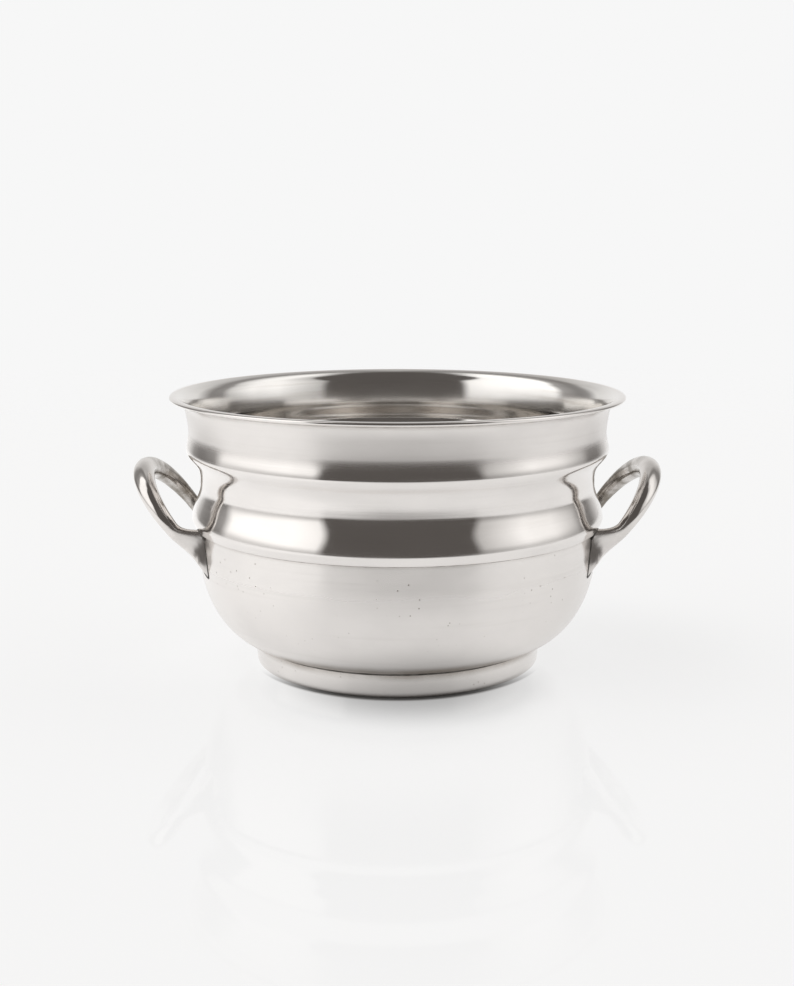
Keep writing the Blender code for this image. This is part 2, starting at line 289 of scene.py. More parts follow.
# Camera: taken from the photograph's perspective, with the image 794 by 986 pixels
IMAGE_HEIGHT_PX = 986.0
FOCAL_PX = 1400.0
SENSOR_MM = 36.0
CAMERA_DISTANCE = 0.49405
CAMERA_HEIGHT = 0.15441
CAMERA_SIDE = -0.000157
CAMERA_PITCH = math.radians(10.865)
CAMERA_TURN = math.radians(0.6)
CAMERA_NEAR = 0.01


def add_piece(name, mesh, body_materials):
    """Object in the scene with its finishes, smooth but for its sharp edges."""
    piece = bpy.data.objects.new(name, mesh)
    bpy.context.scene.collection.objects.link(piece)
    for material in body_materials:
        mesh.materials.append(material)
    mesh.shade_smooth()
    mesh.set_sharp_from_angle(angle=SHARP_ANGLE)
    return piece


def line_inside(mesh):
    """Gives the second finish to the faces that look at the hollow of the cup."""
    for face in mesh.polygons:
        outward = Vector((face.center.x, face.center.y, -SEAM_HEIGHT))
        face.material_index = 1 if face.normal.dot(outward) < 0.0 else 0


def fit_piece(piece, slot, *nodes):
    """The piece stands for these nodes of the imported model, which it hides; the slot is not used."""
    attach(piece, "root")
    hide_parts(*nodes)


def close_mesh(name, shape):
    """Mesh of a finished shape, with its faces looking outwards."""
    bmesh.ops.recalc_face_normals(shape, faces=shape.faces)
    mesh = bpy.data.meshes.new(name)
    shape.to_mesh(mesh)
    shape.free()
    return mesh


def ripple(shape, wave):
    """Moves the points of a turned sheet in or out along their radius by a slow random wave."""
    depth, length = wave
    for vert in shape.verts:
        away = Vector((vert.co.x, vert.co.y, 0.0))
        if away.length > MERGE_DISTANCE:
            vert.co += away.normalized() * (depth * noise.noise(vert.co / length))


def turned_mesh(name, outline, closed=True, wave=None):
    """Turns an outline of (radius, height) points about Z; an open one starts and ends on the axis."""
    shape = bmesh.new()
    corners = [shape.verts.new((radius, 0.0, height)) for radius, height in outline]
    edges = [shape.edges.new(pair) for pair in zip(corners, corners[1:])]
    if closed:
        edges.append(shape.edges.new((corners[-1], corners[0])))
    bmesh.ops.spin(
        shape, geom=corners + edges, cent=(0.0, 0.0, 0.0), axis=(0.0, 0.0, 1.0),
        angle=math.tau, steps=TURN_STEPS, use_merge=True, use_duplicate=False,
    )
    bmesh.ops.remove_doubles(shape, verts=shape.verts, dist=MERGE_DISTANCE)
    if wave:
        ripple(shape, wave)
    return close_mesh(name, shape)


def circle(centre, radius, steps):
    """Points around a circle in the plane of an outline."""
    angles = [math.tau * step / steps for step in range(steps)]
    return [(centre[0] + radius * math.cos(a), centre[1] + radius * math.sin(a)) for a in angles]


def arc(centre, radius, start, end, steps):
    """Points of an arc of (radius, height) points between two angles in degrees, both ends included."""
    angles = [math.radians(start + (end - start) * step / steps) for step in range(steps + 1)]
    return [(centre[0] + radius * math.cos(a), centre[1] + radius * math.sin(a)) for a in angles]


def ogee(waist, crest, lag=1.0):
    """Double curve, upright at its waist and at its crest; a lag above 1 keeps it low for longer."""
    points = []
    for step in range(OGEE_STEPS + 1):
        share = step / OGEE_STEPS
        late = share**lag
        swing = late**2 * (3.0 - 2.0 * late)
        radius = waist[0] + (crest[0] - waist[0]) * swing
        points.append((radius, waist[1] + (crest[1] - waist[1]) * share))
    return points


def rounded(before, corner, after, steps):
    """Points of a soft corner between two points, without the last one."""
    points = []
    for step in range(steps):
        share = step / steps
        first = Vector(before).lerp(Vector(corner), share)
        second = Vector(corner).lerp(Vector(after), share)
        points.append(tuple(first.lerp(second, share)))
    return points


def inset(points, distance):
    """The same line moved towards the axis by a constant distance, square to itself."""
    moved = []
    for index, point in enumerate(points):
        before = Vector(points[max(index - 1, 0)])
        after = Vector(points[min(index + 1, len(points) - 1)])
        into = Vector(point) - before if index else after - Vector(point)
        out = after - Vector(point) if index + 1 < len(points) else into
        into.normalize()
        out.normalize()
        run = (into + out).normalized()
        side = Vector((-run.y, run.x))
        moved.append(tuple(Vector(point) + side * (distance / max(run.dot(into), MITRE_LIMIT))))
    return moved


def belly_line():
    """Outer side of the belly, from the floor's edge up to the shoulder."""
    points = []
    for step in range(BELLY_STEPS + 1):
        angle = math.pi / 2 * step / BELLY_STEPS
        radius = FLOOR_RADIUS + BELLY_REACH * math.sin(angle)
        points.append((radius, BELLY_TOP - BELLY_HEIGHT * math.cos(angle)))
    return points


def belly_height(radius):
    """Height of the bowl's underside above the ground at a radius."""
    share = min(max((radius - FLOOR_RADIUS) / BELLY_REACH, 0.0), 1.0)
    return BELLY_TOP - BELLY_HEIGHT * math.sqrt(1.0 - share**2)


def wall_line():
    """Outer side of the collar's wall, from the lower ridge up to the neck."""
    cove = (COVE_RADIUS, COVE_HEIGHT)
    lower_ridge = (LOWER_RIDGE_RADIUS, LOWER_RIDGE_HEIGHT)
    upper_ridge = (UPPER_RIDGE_RADIUS, UPPER_RIDGE_HEIGHT)
    falling = ogee(cove, lower_ridge)[::-1]
    rising = ogee(cove, upper_ridge, UPPER_RIDGE_LAG)
    flank = ogee((NECK_RADIUS, NECK_HEIGHT), upper_ridge)
    hem = Vector((HEM_OUTER_RADIUS, SEAM_HEIGHT))
    before = Vector(lower_ridge) + (hem - Vector(lower_ridge)).normalized() * CREST_REACH
    crest = rounded(before, lower_ridge, falling[1], NOSE_STEPS)
    return crest + falling[1:] + rising[1:] + flank[-2::-1]


def lip_line():
    """Middle of the lip's sheet: a tapered neck that turns out over the rim wire, up to the wire's top."""
    start = Vector((NECK_RADIUS - WALL / 2, NECK_HEIGHT))
    target = Vector((RIM_RADIUS, RIM_HEIGHT + WIRE_RADIUS - WALL / 2))
    flare = target.x - start.x - NECK_TAPER
    height = target.y - start.y
    end = 1.0 - (WIRE_RADIUS - OVERLAP) / math.hypot(LIP_FLARE_POWER * flare, height)
    points = []
    for step in range(1, LIP_STEPS + 1):
        rise = end * step / LIP_STEPS
        out = NECK_TAPER * rise**NECK_TAPER_POWER + flare * rise**LIP_FLARE_POWER
        points.append((start.x + out, start.y + height * rise))
    return points


def outside_line():
    """Outer side of the whole body, from the bowl's floor up to the neck, always rising."""
    hem = [(BELLY_RADIUS, SEAM_HEIGHT - SEAM_FILLET), (HEM_OUTER_RADIUS, SEAM_HEIGHT)]
    return belly_line() + hem + wall_line()


def body_radius(height, line):
    """Outer radius of the body at a height, read from its outside line."""
    for low, high in zip(line, line[1:]):
        if low[1] <= height <= high[1]:
            share = (height - low[1]) / max(high[1] - low[1], MERGE_DISTANCE)
            return low[0] + (high[0] - low[0]) * share
    return line[0][0] if height < line[0][1] else line[-1][0]


def turned_piece(name, outline, materials, slot, node):
    """Piece turned from a closed outline that stands for one node."""
    piece = add_piece(name, turned_mesh(name, outline), materials)
    fit_piece(piece, slot, node)


def bowl_shell(materials):
    """Spun bowl, with its floor, belly and straight shoulder."""
    outer = [(0.0, BOWL_BOTTOM)] + belly_line() + [(BELLY_RADIUS, LOWER_RIDGE_HEIGHT)]
    inner = inset(outer[1:], WALL)
    inner[0] = (FLOOR_RADIUS, BOWL_BOTTOM + WALL)
    outline = outer + inner[::-1] + [(0.0, BOWL_BOTTOM + WALL)]
    piece = add_piece("bowl_shell", turned_mesh("bowl_shell", outline, False, SHEET_WAVE), materials)
    line_inside(piece.data)
    fit_piece(piece, "silver_plate", "lower_bowl")


def collar_shell(materials):
    """Spun collar, from the hem over the ridges and the neck to the lip's edge."""
    wall = wall_line()
    lip = lip_line()
    hem_bottom = [(HEM_INNER_RADIUS, SEAM_HEIGHT), (HEM_OUTER_RADIUS, SEAM_HEIGHT)]
    outside = wall + inset(lip, -WALL / 2)
    inside = [(radius - WALL, height) for radius, height in wall] + inset(lip, WALL / 2)
    outline = hem_bottom + outside + inside[::-1]
    piece = add_piece("collar_shell", turned_mesh("collar_shell", outline, True, SHEET_WAVE), materials)
    line_inside(piece.data)
    fit_piece(piece, "silver_plate", "upper_collar")


def rim_bead(materials):
    """Wire in the edge of the lip, flattened to an oval."""
    reach, rise = RIM_OVAL
    middle = RIM_RADIUS + WIRE_RADIUS - reach
    unit = circle((0.0, 0.0), 1.0, WIRE_STEPS)
    outline = [(middle + reach * a, RIM_HEIGHT + RIM_OVAL_LIFT + rise * b) for a, b in unit]
    turned_piece("rim_bead", outline, materials, "silver_plate", "rim_wire")


def foot_band(materials):
    """Tapered ring that the cup stands on, let into the bowl's underside."""
    bottom_radius = FOOT_RADIUS - FOOT_TAPER
    inner_radius = FOOT_RADIUS - FOOT_WALL
    edge = arc((bottom_radius - FOOT_EDGE, FOOT_EDGE), FOOT_EDGE, 0.0, -90.0, NOSE_STEPS)
    outline = [(FOOT_RADIUS, belly_height(FOOT_RADIUS) + OVERLAP)] + edge
    outline += [(inner_radius, 0.0), (inner_radius, belly_height(inner_radius) + OVERLAP)]
    turned_piece("foot_band", outline, materials, "silver_plate", "foot_ring")


def seam_run(materials):
    """Solder that fills the lap between the bowl and the collar and shows below the hem."""
    low = SEAM_HEIGHT - SEAM_FILLET
    inner = BELLY_RADIUS - OVERLAP
    outer = HEM_INNER_RADIUS + OVERLAP
    outline = [
        (inner, low), (BELLY_RADIUS, low), (HEM_OUTER_RADIUS - OVERLAP, SEAM_HEIGHT),
        (outer, SEAM_HEIGHT + OVERLAP), (outer, LOWER_RIDGE_HEIGHT), (inner, LOWER_RIDGE_HEIGHT),
    ]
    turned_piece("seam_run", outline, materials, "solder", "seam_solder")


def foot_run(materials):
    """Fillet of solder in the crease between the bowl and the foot."""
    outside = FOOT_RADIUS + FOOT_FILLET
    top = belly_height(outside) + OVERLAP
    inside = FOOT_RADIUS - OVERLAP
    outline = [(inside, belly_height(inside) - FOOT_FILLET), (outside, top), (inside, top)]
    turned_piece("foot_run", outline, materials, "solder", "foot_solder")


def rim_run(materials):
    """Solder in the corner between the lip's underside and the wire."""
    radius = RIM_SOLDER_DIAMETER / 2
    before, edge = [Vector(point) for point in lip_line()[-2:]]
    along = (edge - before).normalized()
    down = Vector((along.y, -along.x))
    outline = circle(edge - along * WIRE_RADIUS / 2 + down * (WALL + radius) / 2, radius, BEAD_STEPS)
    turned_piece("rim_run", outline, materials, "solder", "rim_solder")


def handle_frame(side):
    """Direction up the slope of a handle, the direction square to its plane, and the arch's centre."""
    slope = Vector((side * math.cos(HANDLE_LEAN), 0.0, math.sin(HANDLE_LEAN)))
    square = Vector((-side * math.sin(HANDLE_LEAN), 0.0, math.cos(HANDLE_LEAN)))
    root_width = HANDLE_HALF_WIDTH - HANDLE_ROOT_INSET
    root_radius = math.sqrt(BELLY_RADIUS**2 - root_width**2)
    root = Vector((side * root_radius, 0.0, SEAM_HEIGHT - HANDLE_ROOT_DROP))
    return slope, square, root + slope * HANDLE_LEG


def swell(along_leg, run):
    """Share of the root's spread at a distance down the leg: none at first, all of it after the run."""
    share = min(max(along_leg / run, 0.0), 1.0)
    return share**2 * (3.0 - 2.0 * share)


def leg_point(side, end, down, angle):
    """Point of a leg's skin at a distance down from the arch and an angle around the rod."""
    slope, square, centre = handle_frame(side)
    across = Vector((0.0, end, 0.0))
    rod = HANDLE_ROD_DIAMETER / 2 - HANDLE_TRIM
    spread = swell(down, HANDLE_ROOT_RUN)
    pad = min(max((down - HANDLE_PAD_START) / HANDLE_PAD_RUN, 0.0), 1.0) ** HANDLE_PAD_POWER
    half_width = rod + (HANDLE_PAD_HALF_WIDTH - rod) * pad
    tip = rod + (HANDLE_ROOT_TIP - rod) * spread
    web = rod + (HANDLE_WEB_REACH - rod) * (min(down, HANDLE_WEB_END) / HANDLE_WEB_RUN) ** 2
    inward = HANDLE_ROOT_INSET * swell(down, HANDLE_LEG)
    middle = centre - slope * down + across * (HANDLE_HALF_WIDTH - inward)
    height = math.sin(angle)
    width = math.cos(angle) * (1.0 - HANDLE_KEEL_SHARPNESS * spread * min(height, 0.0) ** 2)
    reach = web if height > 0.0 else tip
    return middle + across * (half_width * width) + square * (reach * height)


def leg_depth(side, end, angle, line):
    """Distance down the leg at which its skin meets the body."""
    near = 0.0
    far = HANDLE_LEG + HANDLE_ROOT_SINK
    for _ in range(BISECTIONS):
        middle = (near + far) / 2
        point = leg_point(side, end, middle, angle)
        if math.hypot(point.x, point.y) > body_radius(point.z, line) - OVERLAP:
            near = middle
        else:
            far = middle
    return far


def rod_angles():
    """Angles of the corners around the handle's rod."""
    return [math.tau * step / ROD_SIDES for step in range(ROD_SIDES)]


def leg_rings(side, end, line):
    """Rings of a leg from the body up to just short of the arch."""
    depths = [leg_depth(side, end, angle, line) for angle in rod_angles()]
    rings = []
    for step in range(LEG_STEPS, 0, -1):
        share = step / LEG_STEPS
        corners = zip(depths, rod_angles())
        rings.append([leg_point(side, end, depth * share, angle) for depth, angle in corners])
    return rings


def arch_rings(side):
    """Rings of the half-ellipse arch, from the front leg over the crown to the rear leg."""
    slope, square, centre = handle_frame(side)
    rings = []
    for step in range(ARCH_STEPS + 1):
        turn = math.pi * step / ARCH_STEPS
        middle = centre + slope * (HANDLE_ARCH * math.sin(turn))
        middle += Vector((0.0, -HANDLE_HALF_WIDTH * math.cos(turn), 0.0))
        outward = slope * (HANDLE_HALF_WIDTH * math.sin(turn))
        outward += Vector((0.0, -HANDLE_ARCH * math.cos(turn), 0.0))
        outward.normalize()
        diameter = HANDLE_ROD_DIAMETER + (HANDLE_CROWN_DIAMETER - HANDLE_ROD_DIAMETER) * math.sin(turn)
        rod = diameter / 2 - HANDLE_TRIM
        rings.append([
            middle + outward * (rod * math.cos(angle)) + square * (rod * math.sin(angle))
            for angle in rod_angles()
        ])
    return rings


def skin(name, rings, looped=False):
    """Closed skin over rings of points; a looped one joins its last ring to its first."""
    shape = bmesh.new()
    rows = [[shape.verts.new(point) for point in ring] for ring in rings]
    pairs = list(zip(rows, rows[1:]))
    if looped:
        pairs.append((rows[-1], rows[0]))
    for low, high in pairs:
        for step in range(len(low)):
            after = (step + 1) % len(low)
            shape.faces.new((low[step], low[after], high[after], high[step]))
    if not looped:
        shape.faces.new(rows[0])
        shape.faces.new(rows[-1])
    return close_mesh(name, shape)


def loop_handle(label, side, materials):
    """Cast handle: front leg, arch and rear leg in one skin."""
    line = outside_line()
    rings = leg_rings(side, -1.0, line) + arch_rings(side) + leg_rings(side, 1.0, line)[::-1]
    name = "loop_" + label
    piece = add_piece(name, skin(name, rings), materials)
    fit_piece(piece, "silver_plate", label + "_handle")


def root_bead(label, side, end_label, end, materials):
    """Bead of solder that follows the line where a handle's root meets the body."""
    loop = leg_rings(side, end, outside_line())[0]
    turns = [math.tau * step / BEAD_STEPS for step in range(BEAD_STEPS)]
    rings = []
    for index, point in enumerate(loop):
        along = (loop[(index + 1) % len(loop)] - loop[index - 1]).normalized()
        away = Vector((point.x, point.y, 0.0)).normalized()
        beside = along.cross(away).normalized()
        away = beside.cross(along)
        rings.append([
            point + (away * math.cos(turn) + beside * math.sin(turn)) * ROOT_BEAD_RADIUS for turn in turns
        ])
    name = "bead_" + label + "_" + end_label
    piece = add_piece(name, skin(name, rings, looped=True), materials)
    fit_piece(piece, "solder", label + "_handle_" + end_label + "_solder")


class Graph:
    """Short hand for building the nodes of one material or of the world."""

    def __init__(self, tree):
        self.tree = tree
        tree.nodes.clear()

    def node(self, kind, inputs=None, **settings):
        """New node with its settings, and its inputs either linked or set."""
        made = self.tree.nodes.new(kind)
        for key, value in settings.items():
            setattr(made, key, value)
        for key, value in (inputs or {}).items():
            if isinstance(value, bpy.types.NodeSocket):
                self.tree.links.new(value, made.inputs[key])
            else:
                made.inputs[key].default_value = value
        return made

    def math(self, operation, first, second=0.0, clamp=False):
        """Sum, product or other operation on one or two values."""
        made = self.node("ShaderNodeMath", {0: first, 1: second}, operation=operation, use_clamp=clamp)
        return made.outputs[0]

    def band(self, value, low, high, soft):
        """1 between two limits, with soft edges, and 0 elsewhere."""
        rise = self.step(value, low - soft, low + soft)
        fall = self.step(value, high - soft, high + soft)
        return self.math("SUBTRACT", rise, fall, clamp=True)

    def step(self, value, low, high, start=0.0, end=1.0):
        """Smooth step from start to end as the value goes from low to high."""
        ends = {0: value, 1: low, 2: high, 3: start, 4: end}
        return self.node("ShaderNodeMapRange", ends, interpolation_type="SMOOTHSTEP").outputs[0]

    def blend(self, share, first, second):
        """Value between the first, at a share of 0, and the second, at a share of 1."""
        rest = self.math("SUBTRACT", 1.0, share)
        return self.math("ADD", self.math("MULTIPLY", first, rest), self.math("MULTIPLY", second, share))

    def mix(self, share, first, second):
        """Colour between the first, at a share of 0, and the second, at a share of 1."""
        made = self.node("ShaderNodeMix", data_type="RGBA", clamp_factor=True)
        for socket, value in ((made.inputs[0], share), (made.inputs[6], first), (made.inputs[7], second)):
            if isinstance(value, bpy.types.NodeSocket):
                self.tree.links.new(value, socket)
            else:
                socket.default_value = value
        return made.outputs[2]

    def stretched(self, scale, turn=(0.0, 0.0, 0.0)):
        """Object coordinates scaled along each axis, and turned."""
        place = self.node("ShaderNodeTexCoord").outputs["Object"]
        inputs = {"Vector": place, "Rotation": turn, "Scale": scale}
        return self.node("ShaderNodeMapping", inputs).outputs[0]

    def noise(self, vector, scale=1.0, detail=2.0, roughness=0.5):
        """Random grain between 0 and 1."""
        inputs = {"Vector": vector, "Scale": scale, "Detail": detail, "Roughness": roughness}
        return self.node("ShaderNodeTexNoise", inputs).outputs["Fac"]


def new_graph(name):
    """New material and the graph to fill it."""
    material = bpy.data.materials.new(name)
    material.use_nodes = True
    return material, Graph(material.node_tree)


def pit_mask(graph, sheet, height):
    """1 in the small pits that lie in loose patches on the foot and the belly, and 0 elsewhere."""
    spots = graph.node("ShaderNodeTexVoronoi", {"Vector": sheet, "Scale": PITS}, voronoi_dimensions="2D")
    draw = graph.node("ShaderNodeSeparateXYZ", {0: spots.outputs["Color"]}).outputs[0]
    chosen = graph.step(draw, *PIT_CHOICE)
    pit = graph.math("MULTIPLY", graph.step(spots.outputs["Distance"], *PIT_EDGE, 1.0, 0.0), chosen)
    patch = graph.step(graph.noise(sheet, PIT_PATCHES, 2.0), *PIT_PATCH_EDGE)
    foot = graph.step(height, *FOOT_PITS, FOOT_PIT_SHARE, 0.0)
    zone = graph.math("MAXIMUM", graph.step(height, *BELLY_PITS), foot)
    zone = graph.math("MULTIPLY", zone, graph.step(height, *PITS_END, 1.0, 0.0))
    return graph.math("MULTIPLY", pit, graph.math("MULTIPLY", zone, patch))


def tarnish_and_shade_mask(graph, height, cloud, streaks):
    """Share of tarnish colour: tarnish with painted shade in the crease over the foot, tarnish along the
    seam, and streaks around the axis that are tarnish outside and painted reflections inside.
    """
    # Tarnish with painted shade in the crease over the foot
    crease = graph.band(height, *CREASE, CREASE_SOFT)
    seam = graph.band(height, *SEAM_LINE, SEAM_LINE_SOFT)
    dirt_and_shade = graph.math("ADD", crease, graph.math("MULTIPLY", seam, SEAM_DIRT))
    dirt_and_shade = graph.math("MULTIPLY", dirt_and_shade, graph.step(cloud, *DIRT_AND_SHADE_EDGE), clamp=True)
    streak = graph.step(graph.noise(graph.stretched(STREAKS), detail=3.0), *STREAK_EDGE)
    return graph.math("ADD", dirt_and_shade, graph.math("MULTIPLY", streak, streaks), clamp=True)


def zone_roughness(graph, height, roughness, zones):
    """Roughness by height: the given one below the first zone, and from there up that of the zones."""
    rough = roughness
    hairs = 0.0
    contrast = 0.0
    for low, high, level, hair_level in zones:
        rough = graph.math("ADD", rough, graph.step(height, low, high, 0.0, level - roughness))
        hairs = graph.math("ADD", hairs, graph.step(height, low, high, 0.0, hair_level - level - contrast))
        roughness = level
        contrast = hair_level - level
    hair = graph.step(graph.noise(graph.stretched(HAIRLINES), detail=1.0), *HAIRLINE_EDGE)
    return graph.math("ADD", rough, graph.math("MULTIPLY", hairs, hair))


def plate_material(name, colour, tarnish, streaks, pitting, roughness, zones=()):
    """Polished plate of the turned pieces: polishing lines around the axis, scratches, pits, tarnish, and
    painted shade in the crease over the foot.
    """
    material, graph = new_graph(name)
    place = graph.node("ShaderNodeTexCoord").outputs["Object"]
    x, y, height = graph.node("ShaderNodeSeparateXYZ", {0: place}).outputs
    around = graph.math("MULTIPLY", graph.math("ARCTAN2", x, graph.math("MULTIPLY", y, -1.0)), BELLY_RADIUS)
    sheet = graph.node("ShaderNodeCombineXYZ", {0: around, 1: height}).outputs[0]
    lines = graph.noise(graph.stretched(POLISH_LINES), detail=4.0, roughness=0.65)
    cloud = graph.noise(graph.stretched(CLOUDS), detail=4.0)
    scratch = graph.noise(graph.stretched(SCRATCHES, SCRATCH_SLANT), detail=1.0)
    scratch = graph.step(scratch, *SCRATCH_EDGE)
    pit = graph.math("MULTIPLY", pit_mask(graph, sheet, height), pitting)
    # The tarnish colour goes on as tarnish and, in the crease over the foot, also as painted shade
    dirt_and_shade = tarnish_and_shade_mask(graph, height, cloud, streaks)
    dirt_and_shade = graph.math("MAXIMUM", dirt_and_shade, graph.math("MULTIPLY", pit, PIT_DIRT))

    shaded = tuple(SHADED_SHARE * level for level in colour[:3]) + (1.0,)
    base = graph.mix(dirt_and_shade, graph.mix(graph.step(cloud, *CLOUD_EDGE), colour, shaded), tarnish)
    rough = graph.math("ADD", graph.math("MULTIPLY", cloud, CLOUD_ROUGHNESS), -CLOUD_ROUGHNESS / 2)
    rough = graph.math("ADD", rough, zone_roughness(graph, height, roughness, zones))
    rough = graph.math("ADD", rough, graph.math("MULTIPLY", dirt_and_shade, DIRT_ROUGHNESS))

    relief = graph.math("MULTIPLY", lines, LINE_RELIEF)
    relief = graph.math("SUBTRACT", relief, graph.math("MULTIPLY", scratch, SCRATCH_RELIEF))
    relief = graph.math("SUBTRACT", relief, graph.math("MULTIPLY", pit, PIT_RELIEF))
    strength = PLATE_BUMP + PITTED_BUMP * pitting
    bump = graph.node("ShaderNodeBump", {"Height": relief, "Strength": strength, "Distance": PLATE_RELIEF})
    tangent = graph.node("ShaderNodeTangent", direction_type="RADIAL", axis="Z")
    shader = graph.node("ShaderNodeBsdfPrincipled", {
        "Base Color": base, "Metallic": 1.0, "Roughness": rough,
        "Anisotropic": BRUSHING, "Anisotropic Rotation": BRUSHING_TURN,
        "Normal": bump.outputs[0], "Tangent": tangent.outputs[0],
    })
    graph.node("ShaderNodeOutputMaterial", {"Surface": shader.outputs[0]})
    return material


def cast_material(name, colour, tarnish, roughness):
    """Polished plate of the cast handles, with fine scratches, rough roots, and tarnish on the rear legs."""
    material, graph = new_graph(name)
    place = graph.node("ShaderNodeTexCoord").outputs["Object"]
    _, depth, height = graph.node("ShaderNodeSeparateXYZ", {0: place}).outputs
    cloud = graph.noise(graph.stretched(CAST_CLOUDS), detail=5.0, roughness=0.6)
    grain = graph.noise(graph.stretched(CAST_GRAIN), detail=3.0)
    scratch = graph.noise(graph.stretched(CAST_SCRATCHES, CAST_SCRATCH_SLANT), detail=1.0)
    scratch = graph.step(scratch, *CAST_SCRATCH_EDGE)
    rear = graph.step(depth, *CAST_REAR, *CAST_DULL_SHARE)
    patches = graph.step(cloud, *CAST_CLOUD_EDGE, *CAST_PATCHINESS)
    dull = graph.math("MULTIPLY", patches, rear, clamp=True)
    base = graph.mix(dull, colour, tarnish)
    rough = graph.math("ADD", graph.math("MULTIPLY", dull, CAST_DULL_ROUGHNESS), roughness)
    rough = graph.math("ADD", rough, graph.step(height, *CAST_ROOT, CAST_ROOT_ROUGHNESS, 0.0))
    relief = graph.math("MULTIPLY", grain, CAST_GRAIN_RELIEF)
    relief = graph.math("SUBTRACT", relief, graph.math("MULTIPLY", scratch, CAST_SCRATCH_RELIEF))
    bump = graph.node("ShaderNodeBump", {"Height": relief, "Strength": CAST_BUMP, "Distance": PLATE_RELIEF})
    shader = graph.node("ShaderNodeBsdfPrincipled", {
        "Base Color": base, "Metallic": 1.0, "Roughness": rough, "Normal": bump.outputs[0],
    })
    graph.node("ShaderNodeOutputMaterial", {"Surface": shader.outputs[0]})
    return material


def solder_material(name, colour, dark):
    """Uneven, dull solder of two mingled colours."""
    material, graph = new_graph(name)
    cloud = graph.noise(graph.stretched(SOLDER_CLOUDS), detail=5.0)
    base = graph.mix(graph.step(cloud, *SOLDER_CLOUD_EDGE), dark, colour)
    rough = graph.math("ADD", graph.math("MULTIPLY", cloud, SOLDER_CLOUD_ROUGHNESS), SOLDER_ROUGHNESS)
    bump = graph.node(
        "ShaderNodeBump", {"Height": cloud, "Strength": SOLDER_BUMP, "Distance": SOLDER_RELIEF}
    )
    shader = graph.node("ShaderNodeBsdfPrincipled", {
        "Base Color": base, "Metallic": 1.0, "Roughness": rough, "Normal": bump.outputs[0],
    })
    graph.node("ShaderNodeOutputMaterial", {"Surface": shader.outputs[0]})
    return material


def level_ramp(graph, angle, levels):
    """Light by compass angle: the levels at the given degrees, with straight runs between them."""
    ramp = graph.node("ShaderNodeValToRGB", {0: graph.math("DIVIDE", angle, math.pi)})
    stops = ramp.color_ramp.elements
    while len(stops) < len(levels):
        stops.new(0.5)
    for stop, (degrees, level) in zip(stops, levels):
        stop.position = degrees / 180.0
        stop.color = (level / LEVEL_SCALE,) * 3 + (1.0,)
    return graph.math("MULTIPLY", ramp.outputs[0], LEVEL_SCALE)


def studio_world():
    """White background for the camera, and a dark room with lights for the metal to mirror."""
    world = bpy.data.worlds.new("studio")
    bpy.context.scene.world = world
    world.use_nodes = True
    graph = Graph(world.node_tree)
    axes = graph.node("ShaderNodeSeparateXYZ", {0: graph.node("ShaderNodeTexCoord").outputs["Generated"]})
    x, y, z = axes.outputs
    compass = graph.math("ARCTAN2", x, graph.math("MULTIPLY", y, -1.0))
    lift = graph.math("ARCSINE", z)
    lean = graph.math("MAXIMUM", graph.math("SUBTRACT", lift, BOX_LEAN_FROM), 0.0)
    aside = graph.math("SUBTRACT", graph.math("ABSOLUTE", compass), lean)
    left = level_ramp(graph, aside, LEFT_LEVELS)
    right = level_ramp(graph, aside, RIGHT_LEVELS)
    level = graph.blend(graph.step(compass, -SIDE_BLEND, SIDE_BLEND), left, right)
    level = graph.math("MULTIPLY", level, graph.step(lift, *CEILING, 1.0, 0.0))
    standing = graph.step(lift, *BOX_BOTTOM, UNDER_BOX, 1.0)
    falling = graph.step(lift, *BACKDROP_FALL, 1.0, BACKDROP_TOP)
    behind = graph.step(aside, *BACKDROP_FROM)
    level = graph.math("MULTIPLY", level, graph.blend(behind, standing, falling))
    boxes = graph.node("ShaderNodeBackground", {"Color": STUDIO_WHITE, "Strength": level})
    room = graph.node("ShaderNodeBackground", {"Color": ROOM_DARK, "Strength": 1.0})
    mirrored = graph.node("ShaderNodeAddShader", {0: boxes.outputs[0], 1: room.outputs[0]})
    seen = graph.node("ShaderNodeBackground", {"Color": BACKGROUND_WHITE, "Strength": 1.0})
    rays = graph.node("ShaderNodeLightPath").outputs
    chosen = graph.node(
        "ShaderNodeMixShader", {0: rays["Is Camera Ray"], 1: mirrored.outputs[0], 2: seen.outputs[0]}
    )
    graph.node("ShaderNodeOutputWorld", {"Surface": chosen.outputs[0]})


